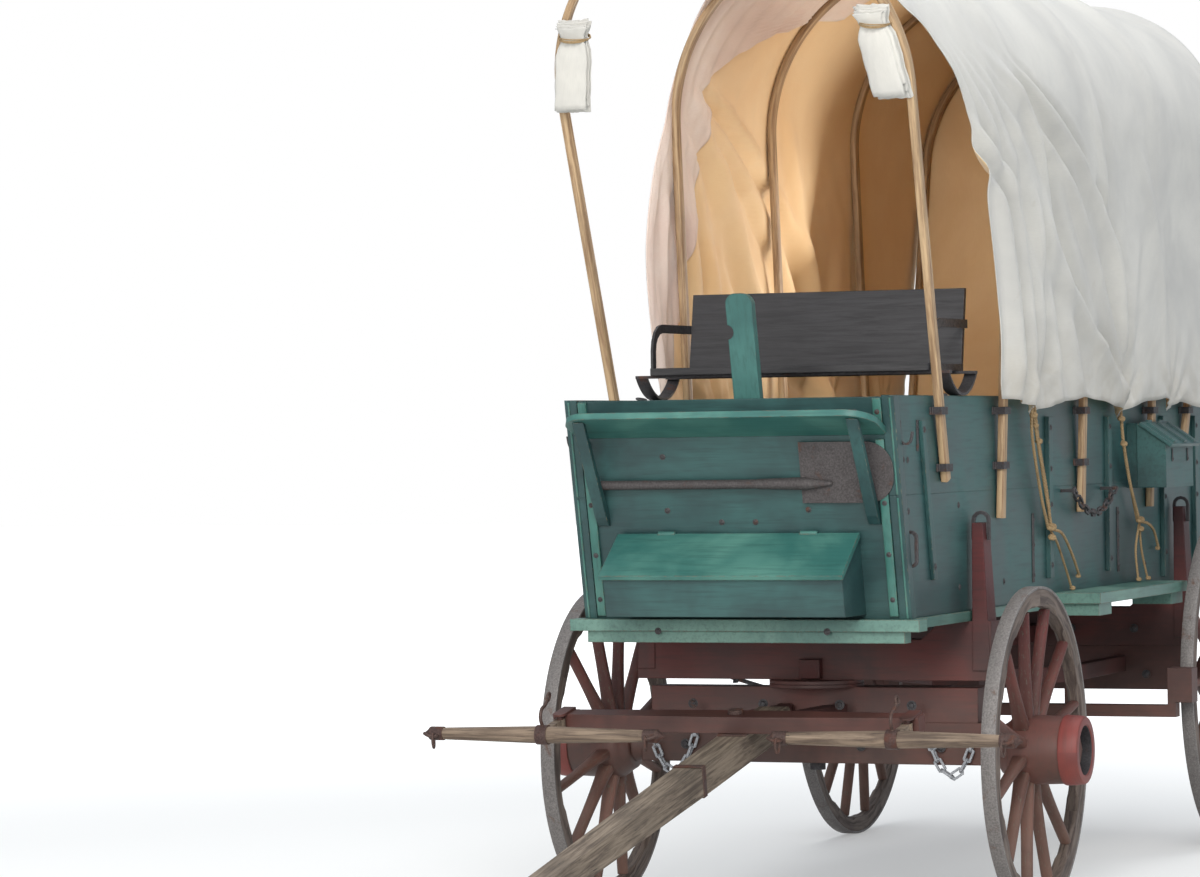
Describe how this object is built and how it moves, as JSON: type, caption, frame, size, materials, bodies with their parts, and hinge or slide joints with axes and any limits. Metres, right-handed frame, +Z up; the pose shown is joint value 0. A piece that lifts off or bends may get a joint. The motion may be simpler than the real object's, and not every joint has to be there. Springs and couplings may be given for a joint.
{
  "type": "covered wagon",
  "caption": "Horse-drawn covered wagon: plank box on spoked wooden wheels, bent bows under a canvas cover, spring seat, drop tongue with doubletree, singletrees and neck yoke.",
  "frame": {"origin": "on the ground under the middle of the wagon's overall length, tongue included", "axes": "+X forward along the tongue, +Y to the wagon's left, +Z up"},
  "size_m": [7.5358, 2.04, 3.4358],
  "materials": {
    "green_boards": "worn teal-green paint on boards",
    "light_green": "teal-green paint, less shaded",
    "seat_green": "dark worn paint",
    "red_gear": "oxblood paint, dusty",
    "wheel_wood": "weathered red paint on turned wood",
    "felloe_wood": "weathered grey-brown wood with worn paint",
    "tyre_iron": "pitted wrought iron",
    "dark_iron": "forged iron, dark",
    "ash": "bent ash, oiled",
    "canvas": "cotton duck, unbleached",
    "grey_pole": "weathered bare wood",
    "shovel_steel": "dark scaled steel",
    "chain_steel": "galvanised chain",
    "rope": "hemp rope"
  },
  "bodies": {
    "wagon": {"bow_1": "ash", "bow_2": "ash", "bow_3": "ash", "bow_4": "ash", "bow_5": "ash", "bow_staples": "dark_iron", "box_irons": "dark_iron", "brake_beam": "red_gear", "cover": "canvas", "cover_ties": "canvas", "floor": "green_boards", "floor_sills": "green_boards", "footboard": "light_green", "footboard_struts": "light_green", "front_board": "green_boards", "front_bolster": "red_gear", "front_toolbox": "light_green", "kingpin": "dark_iron", "line_post": "light_green", "reach": "red_gear", "rear_axle": "red_gear", "rear_bolster": "red_gear", "rear_curtain": "canvas", "rear_hounds": "red_gear", "running_boards": "light_green", "seat_back": "seat_green", "seat_board": "seat_green", "seat_springs": "dark_iron", "shovel": "shovel_steel", "side_cleats": "green_boards", "side_lower_left": "green_boards", "side_lower_right": "green_boards", "side_toolbox": "green_boards", "side_upper_left": "green_boards", "side_upper_right": "green_boards"},
    "front_gear": {"front_axle": "red_gear", "sand_board": "red_gear", "front_hounds": "red_gear", "stay_chains": "chain_steel"},
    "tongue": {"tongue": "grey_pole", "tongue_irons": "dark_iron"},
    "doubletree": {"doubletree": "grey_pole"},
    "singletree_left": {"singletree_left": "grey_pole"},
    "singletree_right": {"singletree_right": "grey_pole"},
    "neck_yoke": {"neck_yoke": "grey_pole"},
    "front_lid": {"front_toolbox_lid": "light_green"},
    "side_lid": {"side_toolbox_lid": "green_boards"},
    "tailgate": {"tailgate": "green_boards"},
    "wheel_front_left": {"wheel_front_left_hub": "wheel_wood", "wheel_front_left_felloes": "felloe_wood", "wheel_front_left_tyre": "tyre_iron"},
    "wheel_front_right": {"wheel_front_right_hub": "wheel_wood", "wheel_front_right_felloes": "felloe_wood", "wheel_front_right_tyre": "tyre_iron"},
    "wheel_rear_left": {"wheel_rear_left_hub": "wheel_wood", "wheel_rear_left_felloes": "felloe_wood", "wheel_rear_left_tyre": "tyre_iron"},
    "wheel_rear_right": {"wheel_rear_right_hub": "wheel_wood", "wheel_rear_right_felloes": "felloe_wood", "wheel_rear_right_tyre": "tyre_iron"}
  },
  "joints": [
    {"name": "steer", "type": "hinge", "parent": "wagon", "child": "front_gear", "pos_m": [-0.23994, 0, 0], "axis": [0, 0, 1], "range_deg": [-18, 18]},
    {"name": "wheel_front_left_spin", "type": "hinge", "parent": "front_gear", "child": "wheel_front_left", "pos_m": [-0.23994, 0.79, 0.559], "axis": [0, 1, 0], "continuous": true},
    {"name": "wheel_front_right_spin", "type": "hinge", "parent": "front_gear", "child": "wheel_front_right", "pos_m": [-0.23994, -0.79, 0.559], "axis": [0, 1, 0], "continuous": true},
    {"name": "wheel_rear_left_spin", "type": "hinge", "parent": "wagon", "child": "wheel_rear_left", "pos_m": [-2.93994, 0.79, 0.66], "axis": [0, 1, 0], "continuous": true},
    {"name": "wheel_rear_right_spin", "type": "hinge", "parent": "wagon", "child": "wheel_rear_right", "pos_m": [-2.93994, -0.79, 0.66], "axis": [0, 1, 0], "continuous": true},
    {"name": "tongue_lift", "type": "hinge", "parent": "front_gear", "child": "tongue", "pos_m": [0.21006, 0, 0.68], "axis": [0, -1, 0], "range_deg": [0, 25]},
    {"name": "doubletree_swing", "type": "hinge", "parent": "tongue", "child": "doubletree", "pos_m": [0.56909, 0, 0.69802], "axis": [0.179, 0, 0.9838], "range_deg": [-12, 12]},
    {"name": "singletree_left_swing", "type": "hinge", "parent": "doubletree", "child": "singletree_left", "pos_m": [0.62517, 0.612, 0.68781], "axis": [0.179, 0, 0.9838], "range_deg": [-18, 18]},
    {"name": "singletree_right_swing", "type": "hinge", "parent": "doubletree", "child": "singletree_right", "pos_m": [0.62517, -0.612, 0.68781], "axis": [0.179, 0, 0.9838], "range_deg": [-18, 18]},
    {"name": "yoke_swivel", "type": "hinge", "parent": "tongue", "child": "neck_yoke", "pos_m": [3.61463, 0, 0.14691], "axis": [0.179, 0, 0.9838], "range_deg": [-40, 40]},
    {"name": "front_lid_open", "type": "hinge", "parent": "wagon", "child": "front_lid", "pos_m": [0.53653, 0, 1.32351], "axis": [0, -1, 0], "range_deg": [0, 50]},
    {"name": "side_lid_open", "type": "hinge", "parent": "wagon", "child": "side_lid", "pos_m": [-2.48494, 0.62417, 1.67721], "axis": [1, 0, 0], "range_deg": [0, 45]},
    {"name": "tailgate_drop", "type": "hinge", "parent": "wagon", "child": "tailgate", "pos_m": [-3.50694, 0, 1.053], "axis": [0, -1, 0], "range_deg": [0, 78]}
  ]
}
